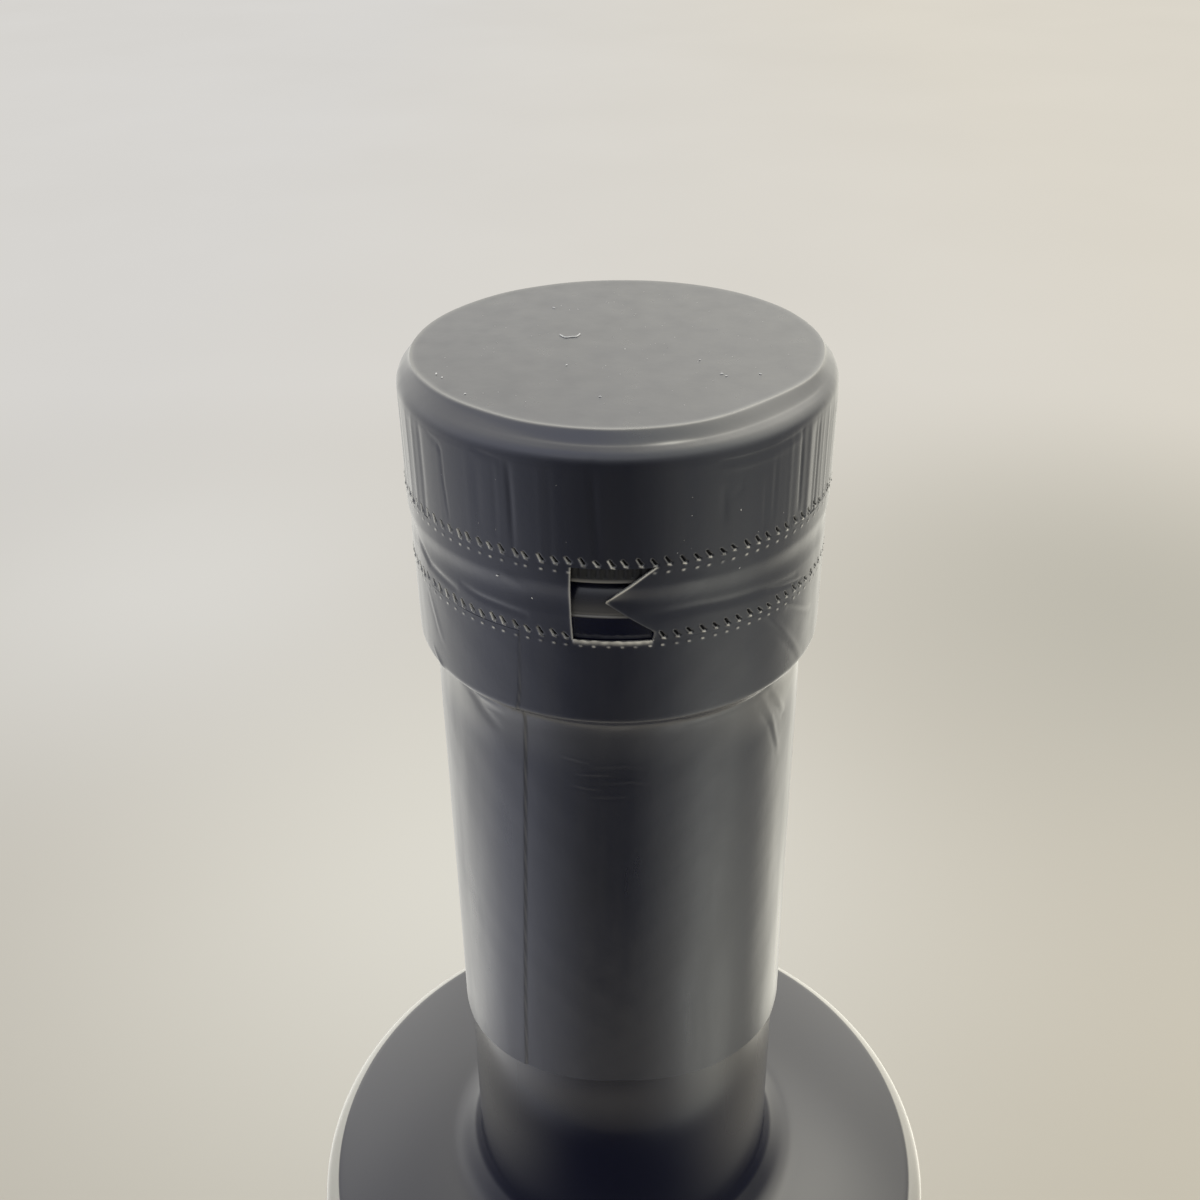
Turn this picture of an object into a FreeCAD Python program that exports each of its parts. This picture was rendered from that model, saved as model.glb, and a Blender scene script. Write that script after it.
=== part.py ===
"""Whisky bottle with a shrink capsule over its stopper, as a FreeCAD document.

The bottle stands on the XY plane with its axis on +Z and the origin at the centre of its foot.
The tear window of the capsule faces -Y. All sizes are millimetres and live in the sheet "sizes".
"""
import FreeCAD
import Part
import Sketcher
import math
import os

SIZES = [
    # the glass
    ("body_diameter", 69.0, "outer diameter of the straight body"),
    ("body_height", 220.0, "foot to the start of the shoulder"),
    ("heel_round", 5.0, "rounding between the body and the foot"),
    ("punt_diameter", 46.0, "diameter of the hollow under the foot"),
    ("punt_depth", 2.5, "depth of that hollow at the axis"),
    ("shoulder_rise", 4.6, "height of the shoulder dome"),
    ("shoulder_reach", 18.4, "radial width of the shoulder dome"),
    ("shoulder_corner", 2.8, "radius of the dome where it meets the body"),
    ("flare_round", 4.0, "concave radius between the neck and the dome"),
    ("neck_base_diameter", 32.1, "glass neck just above the flare"),
    ("neck_top_diameter", 31.3, "glass neck just under the finish"),
    ("neck_length", 71.4, "top of the dome to the underside of the finish"),
    ("finish_diameter", 33.9, "the ring that the stopper closes"),
    ("finish_height", 12.75, "underside of the ring to the lip"),
    ("finish_edge_round", 0.4, "lower outer edge of the ring"),
    ("finish_root_round", 0.8, "concave root under the ring"),
    ("lip_round", 2.9, "rounding of the lip"),
    ("lip_ledge", 0.2, "step between the lip and the ring"),
    # the stopper
    ("head_diameter", 34.2, "knurled head of the stopper"),
    ("head_height", 11.1, "seat to the top of the head"),
    ("head_edge_round", 1.9, "rounding of the head's top edge"),
    ("knurl_count", 120.0, "grooves round the head"),
    ("knurl_depth", 0.25, "depth of one groove"),
    ("knurl_width", 0.5, "width of one groove at the surface"),
    # the capsule
    ("film_wall", 0.25, "thickness of the shrunk film"),
    ("film_gap", 0.1, "air between the film and what it covers"),
    ("cap_skirt_height", 10.0, "top of the capsule to the upper tear line"),
    ("tear_band_height", 6.4, "upper tear line to the lower one"),
    ("tear_band_sag", 0.2, "how far the band sinks in between stopper and ring"),
    ("capsule_height", 68.0, "top of the capsule to its lower edge"),
    # the cut window at the start of the tear band
    ("window_left", 3.4, "axis to the straight cut"),
    ("window_right", 2.6, "axis to the far corners of the pointed tongue"),
    ("tongue_reach", 3.65, "how far the tongue's point stands out of those corners"),
    ("tongue_drop", 2.85, "upper tear line down to the point"),
    ("tongue_heel", 0.8, "straight end of the tongue above the lower tear line"),
]

doc = FreeCAD.newDocument("whisky_bottle")


def make_sheet():
    """Put each driving size in a row of the sheet: alias, value, meaning."""
    sheet = doc.addObject("Spreadsheet::Sheet", "sizes")
    for row, (alias, value, meaning) in enumerate(SIZES, start=1):
        sheet.set(f"A{row}", alias)
        sheet.set(f"B{row}", str(value))
        sheet.set(f"C{row}", meaning)
        sheet.setAlias(f"B{row}", alias)
    doc.recompute()
    return sheet


sheet = make_sheet()


def size(alias):
    """Write one size as it is named in an expression."""
    return f"sizes.{alias}"


# Heights and radii that several pieces share, as expressions of the driving sizes.
BODY_RADIUS = "(sizes.body_diameter / 2)"
PUNT_RADIUS = "(sizes.punt_diameter / 2)"
NECK_BASE = "(sizes.neck_base_diameter / 2)"
NECK_TOP = "(sizes.neck_top_diameter / 2)"
RING_RADIUS = "(sizes.finish_diameter / 2)"
LIP_RADIUS = f"({RING_RADIUS} - sizes.lip_ledge)"
HEAD_RADIUS = "(sizes.head_diameter / 2)"
RING_UNDER = "(sizes.body_height + sizes.shoulder_rise + sizes.neck_length)"
LIP_TOP = f"({RING_UNDER} + sizes.finish_height)"
HEAD_TOP = f"({LIP_TOP} + sizes.head_height)"
FILM_INSIDE = "sizes.film_gap"
FILM_OUTSIDE = "(sizes.film_gap + sizes.film_wall)"
CAPSULE_TOP = f"({HEAD_TOP} + {FILM_OUTSIDE})"
UPPER_TEAR = f"({CAPSULE_TOP} - sizes.cap_skirt_height)"
LOWER_TEAR = f"({UPPER_TEAR} - sizes.tear_band_height)"
CAPSULE_FOOT = f"({CAPSULE_TOP} - sizes.capsule_height)"

# The shoulder is a wide crown arc that meets the small corner arc, both tangent to each other.
CROWN_RADIUS = ("(((sizes.shoulder_reach - sizes.shoulder_corner)^2 + sizes.shoulder_rise^2"
                " - sizes.shoulder_corner^2) / (2 * (sizes.shoulder_rise - sizes.shoulder_corner)))")
CROWN_X = f"({BODY_RADIUS} - sizes.shoulder_reach)"
CROWN_Z = f"(sizes.body_height + sizes.shoulder_rise - {CROWN_RADIUS})"
CORNER_SHARE = f"({CROWN_RADIUS} / ({CROWN_RADIUS} - sizes.shoulder_corner))"
CORNER_X = f"({CROWN_X} + (sizes.shoulder_reach - sizes.shoulder_corner) * {CORNER_SHARE})"
CORNER_Z = f"({CROWN_Z} + ({CROWN_RADIUS} - sizes.shoulder_rise) * {CORNER_SHARE})"
# The flare is tangent to the neck and to the crown arc.
FLARE_OUT = f"({NECK_BASE} + sizes.flare_round - {CROWN_X})"
FLARE_Z = f"({CROWN_Z} + sqrt(({CROWN_RADIUS} + sizes.flare_round)^2 - {FLARE_OUT}^2))"
FLARE_SHARE = f"({CROWN_RADIUS} / ({CROWN_RADIUS} + sizes.flare_round))"
FLARE_END_X = f"({CROWN_X} + {FLARE_OUT} * {FLARE_SHARE})"
FLARE_END_Z = f"({CROWN_Z} + ({FLARE_Z} - {CROWN_Z}) * {FLARE_SHARE})"


def value(expression):
    """Work out an expression of the sheet as a plain number."""
    result = sheet.evalExpression(expression)
    return float(getattr(result, "Value", result))


def origin_feature(body, role):
    """Find a body's own origin plane or axis by its role."""
    for feature in body.Origin.OriginFeatures:
        if feature.Role == role:
            return feature
    raise RuntimeError(f"{body.Label} has no {role}")


def make_body(label):
    """Start a PartDesign body whose label names its file."""
    body = doc.addObject("PartDesign::Body", label)
    body.Label = label
    body.Placement = FreeCAD.Placement()
    return body


def make_sketch(body, name, plane):
    """Start a sketch on one of the body's own origin planes."""
    sketch = body.newObject("Sketcher::SketchObject", name)
    sketch.AttachmentSupport = (origin_feature(body, plane), [""])
    sketch.MapMode = "FlatFace"
    return sketch


def arc_between(start, end, radius, turn):
    """Make the short arc from start to end; turn is 1 anticlockwise and -1 clockwise."""
    middle = (start + end) * 0.5
    chord = end - start
    across = FreeCAD.Vector(-chord.y, chord.x, 0).normalize()
    reach = math.sqrt(max(radius ** 2 - (chord.Length / 2) ** 2, 0.0))
    centre = middle + across * reach * turn
    first, last = (start, end) if turn > 0 else (end, start)
    angles = [math.atan2(point.y - centre.y, point.x - centre.x) for point in (first, last)]
    if angles[1] < angles[0]:
        angles[1] += 2 * math.pi
    circle = Part.Circle(centre, FreeCAD.Vector(0, 0, 1), radius)
    return Part.ArcOfCircle(circle, angles[0], angles[1])


def draw_outline(sketch, corners):
    """Draw a closed outline and bind it to the sheet.

    Each corner is (x, y) or (x, y, radius, turn) in expressions; the longer form reaches its
    corner by an arc. Every corner is held by two distances from the origin.
    """
    points = [FreeCAD.Vector(value(corner[0]), value(corner[1]), 0) for corner in corners]
    ends = []
    for index, corner in enumerate(corners):
        start, end = points[index - 1], points[index]
        if len(corner) == 2:
            edge = sketch.addGeometry(Part.LineSegment(start, end), False)
            ends.append((edge, 1, 2))
        else:
            radius, turn = corner[2], corner[3]
            edge = sketch.addGeometry(arc_between(start, end, value(radius), turn), False)
            ends.append((edge, 1, 2) if turn > 0 else (edge, 2, 1))
            held = sketch.addConstraint(Sketcher.Constraint("Radius", edge, value(radius)))
            sketch.setExpression(f"Constraints[{held}]", radius)
    for index, corner in enumerate(corners):
        edge, _, tail = ends[index]
        following, head, _ = ends[(index + 1) % len(corners)]
        sketch.addConstraint(Sketcher.Constraint("Coincident", edge, tail, following, head))
        for kind, axis, number in (("DistanceX", -2, 0), ("DistanceY", -1, 1)):
            if value(corner[number]) == 0:
                sketch.addConstraint(Sketcher.Constraint("PointOnObject", edge, tail, axis))
                continue
            held = sketch.addConstraint(
                Sketcher.Constraint(kind, -1, 1, edge, tail, points[index][number]))
            sketch.setExpression(f"Constraints[{held}]", corner[number])


def revolve(body, name, corners):
    """Turn an outline in the XZ plane about the Z axis."""
    sketch = make_sketch(body, f"{name}_outline", "XZ_Plane")
    draw_outline(sketch, corners)
    turned = body.newObject("PartDesign::Revolution", name)
    turned.Profile = sketch
    turned.ReferenceAxis = (sketch, ["V_Axis"])
    turned.Angle = 360.0
    sketch.Visibility = False
    doc.recompute()
    return turned


def make_bottle():
    """Glass and contents in one: foot, body, shoulder, neck and the ring with its lip."""
    body = make_body("bottle")
    edge, root = size("finish_edge_round"), size("finish_root_round")
    punt = "((sizes.punt_diameter^2 / 4 + sizes.punt_depth^2) / (2 * sizes.punt_depth))"
    revolve(body, "glass", [
        ("0", size("punt_depth")),
        (PUNT_RADIUS, "0", punt, -1),
        (f"{BODY_RADIUS} - sizes.heel_round", "0"),
        (BODY_RADIUS, size("heel_round"), size("heel_round"), 1),
        (BODY_RADIUS, size("body_height")),
        (CORNER_X, CORNER_Z, size("shoulder_corner"), 1),
        (FLARE_END_X, FLARE_END_Z, CROWN_RADIUS, 1),
        (NECK_BASE, FLARE_Z, size("flare_round"), -1),
        (NECK_TOP, f"{RING_UNDER} - {root}"),
        (f"{NECK_TOP} + {root}", RING_UNDER, root, -1),
        (f"{RING_RADIUS} - {edge}", RING_UNDER),
        (RING_RADIUS, f"{RING_UNDER} + {edge}", edge, 1),
        (RING_RADIUS, f"{LIP_TOP} - sizes.lip_round"),
        (LIP_RADIUS, f"{LIP_TOP} - sizes.lip_round"),
        (f"{LIP_RADIUS} - sizes.lip_round", LIP_TOP, size("lip_round"), 1),
        ("0", LIP_TOP),
    ])
    return body


def make_stopper():
    """The stopper's head, seated on the lip, with grooves round its skirt."""
    body = make_body("stopper_head")
    edge = size("head_edge_round")
    turned = revolve(body, "head", [
        ("0", LIP_TOP),
        (HEAD_RADIUS, LIP_TOP),
        (HEAD_RADIUS, f"{HEAD_TOP} - {edge}"),
        (f"{HEAD_RADIUS} - {edge}", HEAD_TOP, edge, 1),
        ("0", HEAD_TOP),
    ])
    groove = make_sketch(body, "groove_outline", "XY_Plane")
    groove.setExpression("AttachmentOffset.Base.z", LIP_TOP)
    beyond = f"({HEAD_RADIUS} + sizes.knurl_depth)"
    draw_outline(groove, [
        (f"{HEAD_RADIUS} - sizes.knurl_depth", "0"),
        (beyond, "-sizes.knurl_width"),
        (beyond, "sizes.knurl_width"),
    ])
    doc.recompute()
    cut = body.newObject("PartDesign::Pocket", "groove")
    cut.Profile = groove
    cut.Reversed = True
    cut.setExpression("Length", f"sizes.head_height - {edge}")
    groove.Visibility = False
    doc.recompute()
    if not cut.Shape.Volume < turned.Shape.Volume:
        raise RuntimeError("the knurl groove cuts nothing")
    ring = body.newObject("PartDesign::PolarPattern", "knurl")
    ring.Originals = [cut]
    ring.Axis = (origin_feature(body, "Z_Axis"), [""])
    ring.Angle = 360.0
    ring.setExpression("Occurrences", size("knurl_count"))
    body.Tip = ring
    return body


def make_capsule_cap():
    """Film over the stopper's head, down to the upper tear line."""
    body = make_body("capsule_cap")
    outer, inner = f"({HEAD_RADIUS} + {FILM_OUTSIDE})", f"({HEAD_RADIUS} + {FILM_INSIDE})"
    outer_round = f"(sizes.head_edge_round + {FILM_OUTSIDE})"
    inner_round = f"(sizes.head_edge_round + {FILM_INSIDE})"
    under_top = f"({HEAD_TOP} + {FILM_INSIDE})"
    revolve(body, "cap_film", [
        ("0", under_top),
        (f"{inner} - {inner_round}", under_top),
        (inner, f"{under_top} - {inner_round}", inner_round, -1),
        (inner, UPPER_TEAR),
        (outer, UPPER_TEAR),
        (outer, f"{CAPSULE_TOP} - {outer_round}"),
        (f"{outer} - {outer_round}", CAPSULE_TOP, outer_round, 1),
        ("0", CAPSULE_TOP),
    ])
    return body


def make_tear_band():
    """Film between the tear lines, sunk in a little, open at the window with its pointed tongue."""
    body = make_body("tear_band")
    top, foot = f"({HEAD_RADIUS} + {FILM_OUTSIDE})", f"({RING_RADIUS} + {FILM_OUTSIDE})"
    shoulder = f"max({top}; {foot})"
    lip_foot = f"({LIP_TOP} - sizes.lip_round)"
    chord = f"(sizes.lip_round^2 + ({shoulder} - {foot})^2)"
    trough = f"(({chord} / 4 + sizes.tear_band_sag^2) / (2 * sizes.tear_band_sag))"
    wall = size("film_wall")
    turned = revolve(body, "band_film", [
        (f"{foot} - {wall}", LOWER_TEAR),
        (foot, LOWER_TEAR),
        (foot, lip_foot),
        (shoulder, LIP_TOP, trough, -1),
        (top, UPPER_TEAR),
        (f"{top} - {wall}", UPPER_TEAR),
        (f"{shoulder} - {wall}", LIP_TOP),
        (f"{foot} - {wall}", lip_foot, trough, 1),
    ])
    window = make_sketch(body, "window_outline", "XZ_Plane")
    draw_outline(window, [
        ("-sizes.window_left", f"{LOWER_TEAR} - {wall}"),
        (size("window_right"), f"{LOWER_TEAR} - {wall}"),
        (size("window_right"), f"{LOWER_TEAR} + sizes.tongue_heel"),
        ("sizes.window_right - sizes.tongue_reach", f"{UPPER_TEAR} - sizes.tongue_drop"),
        (size("window_right"), UPPER_TEAR),
        (size("window_right"), f"{UPPER_TEAR} + {wall}"),
        ("-sizes.window_left", f"{UPPER_TEAR} + {wall}"),
    ])
    doc.recompute()
    cut = body.newObject("PartDesign::Pocket", "window")
    cut.Profile = window
    cut.Reversed = True
    cut.setExpression("Length", f"{shoulder} + {wall}")
    window.Visibility = False
    doc.recompute()
    if not cut.Shape.Volume < turned.Shape.Volume:
        raise RuntimeError("the window cuts nothing")
    return body


def make_capsule_sleeve():
    """Film over the ring and down the neck, from the lower tear line to the capsule's edge."""
    body = make_body("capsule_sleeve")
    edge, root = size("finish_edge_round"), size("finish_root_round")
    rings, necks, unders, edges, roots = [], [], [], [], []
    for offset in (FILM_INSIDE, FILM_OUTSIDE):
        rings.append(f"({RING_RADIUS} + {offset})")
        necks.append(f"({NECK_TOP} + {offset})")
        unders.append(f"({RING_UNDER} - {offset})")
        edges.append(f"({edge} + {offset})")
        roots.append(f"({root} - {offset})")
    slope = f"(({NECK_BASE} - {NECK_TOP}) / ({RING_UNDER} - {root} - {FLARE_Z}))"
    growth = f"({slope} * ({RING_UNDER} - {root} - {CAPSULE_FOOT}))"
    revolve(body, "sleeve_film", [
        (rings[0], LOWER_TEAR),
        (rings[0], f"{unders[0]} + {edges[0]}"),
        (f"{rings[0]} - {edges[0]}", unders[0], edges[0], -1),
        (f"{necks[0]} + {roots[0]}", unders[0]),
        (necks[0], f"{unders[0]} - {roots[0]}", roots[0], 1),
        (f"{necks[0]} + {growth}", CAPSULE_FOOT),
        (f"{necks[1]} + {growth}", CAPSULE_FOOT),
        (necks[1], f"{unders[1]} - {roots[1]}"),
        (f"{necks[1]} + {roots[1]}", unders[1], roots[1], -1),
        (f"{rings[1]} - {edges[1]}", unders[1]),
        (rings[1], f"{unders[1]} + {edges[1]}", edges[1], 1),
        (rings[1], LOWER_TEAR),
    ])
    return body


def check(pieces):
    """Stop before anything is written if a feature failed or a shape isn't one valid solid."""
    doc.recompute()
    for feature in doc.Objects:
        if "Invalid" in feature.State or "Error" in feature.State:
            raise RuntimeError(f"{feature.Label} failed: {feature.State}")
    for piece in pieces:
        shape = piece.Shape
        if shape.isNull() or not shape.isValid() or len(shape.Solids) != 1:
            raise RuntimeError(f"{piece.Label} is not one valid solid")


def main():
    """Build every piece, check the document and write one file for each piece."""
    pieces = [make_bottle(), make_stopper(), make_capsule_cap(), make_tear_band(),
              make_capsule_sleeve()]
    check(pieces)
    os.makedirs("parts", exist_ok=True)
    for piece in pieces:
        piece.Shape.exportStep(f"parts/{piece.Label}.step")
        box = piece.Shape.BoundBox
        print(f"{piece.Label}: {piece.Shape.Volume:.1f} mm3, z {box.ZMin:.2f} to {box.ZMax:.2f}")


main()
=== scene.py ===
"""Looks for the sealed whisky bottle: dark glass, knurled stopper and the shrunk film over it.

Shapes are worked out in millimetres and become metres when a mesh is made. A point of the film
is given by its azimuth (0 at the front, which faces -Y, growing towards +X, in degrees) and by
its depth below the top of the capsule.
"""
import math
import bpy
import numpy as np
from mathutils import Matrix, Vector


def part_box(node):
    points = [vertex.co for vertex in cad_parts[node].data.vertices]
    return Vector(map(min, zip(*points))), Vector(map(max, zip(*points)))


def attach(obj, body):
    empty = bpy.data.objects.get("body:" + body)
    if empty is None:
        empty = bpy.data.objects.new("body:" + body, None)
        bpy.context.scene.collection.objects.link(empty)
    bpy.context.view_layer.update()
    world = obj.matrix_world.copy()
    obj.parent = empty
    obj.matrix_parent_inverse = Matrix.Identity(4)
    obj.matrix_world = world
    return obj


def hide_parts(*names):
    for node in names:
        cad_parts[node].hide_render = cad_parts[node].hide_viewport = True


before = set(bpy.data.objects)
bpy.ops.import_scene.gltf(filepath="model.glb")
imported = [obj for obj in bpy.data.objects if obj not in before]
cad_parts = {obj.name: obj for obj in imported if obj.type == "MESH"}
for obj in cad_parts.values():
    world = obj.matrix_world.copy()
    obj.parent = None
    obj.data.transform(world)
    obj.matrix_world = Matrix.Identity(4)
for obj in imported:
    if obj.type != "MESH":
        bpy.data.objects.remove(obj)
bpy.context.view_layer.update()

MM = 0.001


def edge_mm(node, side, axis):
    """One coordinate of a CAD node's box in millimetres; side is 0 for low and 1 for high."""
    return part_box(node)[side][axis] / MM


# Heights and radii that the looks share with the solids.
TOP = edge_mm("capsule_cap", 1, 2)
TEAR_UPPER = TOP - edge_mm("tear_band", 1, 2)
TEAR_LOWER = TOP - edge_mm("tear_band", 0, 2)
LIP_DEPTH = TOP - edge_mm("stopper_head", 0, 2)
HEAD_TOP_DEPTH = TOP - edge_mm("stopper_head", 1, 2)
BODY_RADIUS = edge_mm("bottle", 1, 0)
HEAD_RADIUS = edge_mm("stopper_head", 1, 0)
CAP_RADIUS = edge_mm("capsule_cap", 1, 0)
RING_RADIUS = edge_mm("capsule_sleeve", 1, 0)
# The film: its thickness, its radius at the root of the neck and what it gains for each
# millimetre down, the depth of its lower edge in front and how far that dips at the sides.
FILM_WALL = 0.25
NECK_TOP_RADIUS = 16.0
NECK_GROWTH = 0.0093
FILM_FOOT_DEPTH = 67.0
FOOT_WAVE = 2.0
# The glass: radii, and heights above the foot.
LIP_ROUND = 2.9
RING_UNDER = 296.0
RING_CORNER = 0.4
NECK_ROOT_RADIUS = 15.65
NECK_ROOT_ROUND = 0.8
NECK_FOOT_RADIUS = 16.05
FLARE_TOP = 228.5
FLARE_ROUND = 4.0
BODY_HEIGHT = 220.0
CORNER_ROUND = 2.8
FOOT_ROUND = 5.0
PUNT_RADIUS = 23.0
PUNT_RISE = 2.5
# Inner radius of the ring of painted grazing sheen round the shoulder's edge.
PAINTED_SHEEN_RING_RADIUS = 32.85
# The shoulder is a wide arc. Its rows lie closer from CROWN_FINE on, where the ring of painted
# sheen is.
CROWN_CENTRE = (16.1, TOP - 153.3)
CROWN_RADIUS = 71.3
CROWN_START, CROWN_FINE, CROWN_END = 87, 78.4, 76.84


# ---------------------------------------------------------------- meshes

# The hidden inner side of a skin keeps every so many rows.
INNER_STEP = 5


def strip_faces(rows, columns, around):
    """Quads of a lattice whose rows run down and whose columns run with the azimuth."""
    row = np.arange(rows - 1)[:, None] * columns
    column = np.arange(columns if around else columns - 1)[None, :]
    right = (column + 1) % columns
    corners = [row + column, row + columns + column, row + columns + right, row + right]
    return np.stack(corners, -1).reshape(-1, 4)


def new_piece(name, points, faces, material, layers=None, sharp=40):
    """Make an object from points in millimetres, and let it ride on the part."""
    mesh = bpy.data.meshes.new(name)
    mesh.from_pydata((points * MM).tolist(), [], faces)
    mesh.validate()
    mesh.shade_smooth()
    mesh.set_sharp_from_angle(angle=math.radians(sharp))
    for layer, values in (layers or {}).items():
        attribute = mesh.attributes.new(layer, "FLOAT", "POINT")
        attribute.data.foreach_set("value", np.clip(values, 0, 1).astype(np.float32))
    mesh.materials.append(material)
    piece = bpy.data.objects.new(name, mesh)
    bpy.context.scene.collection.objects.link(piece)
    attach(piece, "root")
    return piece


def polar(azimuth, radius, depth):
    """Points from azimuth in degrees, radius and depth below the capsule's top."""
    turn = np.radians(azimuth)
    return np.stack([radius * np.sin(turn), -radius * np.cos(turn), TOP - depth + 0 * turn], -1)


def end_fans(high, low, last, columns):
    """Triangles from two poles to a lattice's first row and to the row that starts at last."""
    faces = []
    for column in range(columns):
        right = (column + 1) % columns
        faces.append([high, column, right])
        faces.append([low, last + right, last + column])
    return faces


def closed_round(lattice, top_depth, foot_depth):
    """Points and faces of a closed solid round the axis, which it meets at two depths."""
    rows, columns = lattice.shape[:2]
    poles = [[0, 0, TOP - top_depth], [0, 0, TOP - foot_depth]]
    points = np.concatenate([lattice.reshape(-1, 3), poles])
    faces = strip_faces(rows, columns, True).tolist()
    faces += end_fans(len(points) - 2, len(points) - 1, (rows - 1) * columns, columns)
    return points, faces


def thinned(lattice, fine):
    """Rows of a lattice as a list; a row that isn't fine keeps every second column."""
    return [row if whole else row[::2] for row, whole in zip(lattice, fine)]


def bridge(upper, lower, first_up, first_low):
    """Faces between two closed rows of as many columns, or of twice or half as many."""
    column = np.arange(min(upper, lower))
    after = (column + 1) % len(column)
    up, low = column * (upper // len(column)), column * (lower // len(column))
    up_after, low_after = after * (upper // len(column)), after * (lower // len(column))
    corners = [first_up + up, first_low + low]
    if lower > upper:
        corners.append(first_low + low + 1)
    corners += [first_low + low_after, first_up + up_after]
    if upper > lower:
        corners.append(first_up + up + 1)
    return np.stack(corners, -1).tolist()


def inner_rows(lattice):
    """Numbers of the rows that the hidden inner side of a skin keeps."""
    return sorted({*range(0, len(lattice), INNER_STEP), len(lattice) - 1})


def shell(outer, inner, fine, poles=False):
    """Points and faces of a closed skin round the bottle, from its outer and inner lattice."""
    rows = thinned(outer, fine) + [inner[row][::2] for row in reversed(inner_rows(inner))]
    starts = np.cumsum([0] + [len(row) for row in rows])
    points, faces = np.concatenate(rows), []
    for index in range(len(rows) - 1):
        faces += bridge(len(rows[index]), len(rows[index + 1]), starts[index], starts[index + 1])
    if not poles:
        return points, faces + bridge(len(rows[-1]), len(rows[0]), starts[-2], 0)
    faces += end_fans(len(points), len(points) + 1, starts[-2], len(rows[0]))
    return np.concatenate([points, [rows[0].mean(0), rows[-1].mean(0)]]), faces


def strip_shell(outer, inner):
    """Points and faces of a closed skin over a strip with two ends."""
    kept = inner_rows(inner)
    loop = np.concatenate([outer, inner[kept[::-1]]])
    rows, columns = loop.shape[:2]
    last = (rows - 1) * columns
    faces = strip_faces(rows, columns, False).tolist()
    faces += [[last + c, c, c + 1, last + c + 1] for c in range(columns - 1)]
    for index in range(len(kept) - 1):
        inside = rows - 1 - index
        path = [kept[index], inside, inside - 1] + list(range(kept[index + 1], kept[index], -1))
        faces.append([row * columns for row in path])
        faces.append([row * columns + columns - 1 for row in reversed(path)])
    return loop.reshape(-1, 3), faces


def padded(values, fine, points):
    """Values of the outer skin's points, with 0 for the points that follow them."""
    listed = np.concatenate(thinned(values, fine))
    return np.concatenate([listed, np.zeros(len(points) - len(listed))])


def turned(profile, columns, wobble=0.0, seed=1):
    """Closed solid of revolution from (radius, depth) pairs that start and end on the axis."""
    azimuth = np.arange(columns) * 360.0 / columns
    ring = np.array(profile[1:-1])
    radius = ring[:, :1] + wobble * wander(azimuth[None, :], ring[:, 1:], seed, 6, 5, 0.09)
    lattice = polar(azimuth[None, :] + 0 * radius, radius, ring[:, 1:] + 0 * radius)
    return closed_round(lattice, profile[0][1], profile[-1][1])


def arc(centre, radius, first, last, steps):
    """(radius, depth) pairs along an arc; angles are from outwards, growing upwards."""
    angles = np.radians(np.linspace(first, last, steps))
    return [(centre[0] + radius * math.cos(a), centre[1] - radius * math.sin(a)) for a in angles]


def run(start, end, steps):
    """(radius, depth) pairs along a straight line, its ends left out."""
    share = np.linspace(0, 1, steps + 2)[1:-1]
    return [(start[0] + (end[0] - start[0]) * s, start[1] + (end[1] - start[1]) * s)
            for s in share]


# ---------------------------------------------------------------- surface detail

def wander(azimuth, depth, seed, waves, turns, rise):
    """Smooth seeded unevenness between about -1 and 1 that closes round the bottle."""
    random = np.random.default_rng(seed)
    total = 0.0
    for _ in range(waves):
        count = random.integers(1, turns + 1)
        slope = random.normal() * rise * 2 * math.pi
        phase = random.uniform(0, 2 * math.pi)
        total = total + np.cos(np.radians(azimuth) * count + depth * slope + phase)
    return total / math.sqrt(waves) / 1.6


def bell(distance, width):
    """1 on a line, falling off smoothly at the given half width."""
    return np.exp(-(distance / width) ** 2)


def ramp(value, start, end):
    """Smooth step from 0 at start to 1 at end."""
    share = np.clip((value - start) / (end - start), 0, 1)
    return share * share * (3 - 2 * share)


def nearest(across, down, path):
    """Distance in millimetres to a path, and the share of the path where it is nearest."""
    best = np.full(np.broadcast(across, down).shape, 1e9)
    place = np.zeros_like(best)
    for index in range(len(path) - 1):
        (x0, y0), (x1, y1) = path[index], path[index + 1]
        dx, dy = x1 - x0, y1 - y0
        share = np.clip(((across - x0) * dx + (down - y0) * dy) / (dx * dx + dy * dy), 0, 1)
        distance = np.hypot(across - x0 - share * dx, down - y0 - share * dy)
        closer = distance < best
        best = np.where(closer, distance, best)
        place = np.where(closer, (index + share) / (len(path) - 1), place)
    return best, place


def folds(azimuth, depth, radius, table):
    """Sum of creases. Each row: path of (azimuth, depth), half width, height, groove beside it."""
    turn = (azimuth + 180) % 360 - 180
    across = np.radians(turn) * radius
    total = np.zeros(np.broadcast(across, depth).shape)
    for path, width, height, groove in table:
        spots = [(math.radians(a) * radius, d) for a, d in path]
        distance, place = nearest(across, depth, spots)
        fade = np.sin(np.pi * np.clip(place * 0.9 + 0.05, 0, 1)) ** 0.6
        total += height * bell(distance, width) * fade
        if groove:
            distance, _ = nearest(across, depth - groove, spots)
            total -= 0.7 * height * bell(distance, width) * fade
    return total


# Pricks along a tear line, each with a slit above the line and a dot below it.
PERFORATIONS = 105
SLIT_RISE = 0.42
DOT_DROP = 0.42
UPPER_SEED, LOWER_SEED = 41, 43


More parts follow.
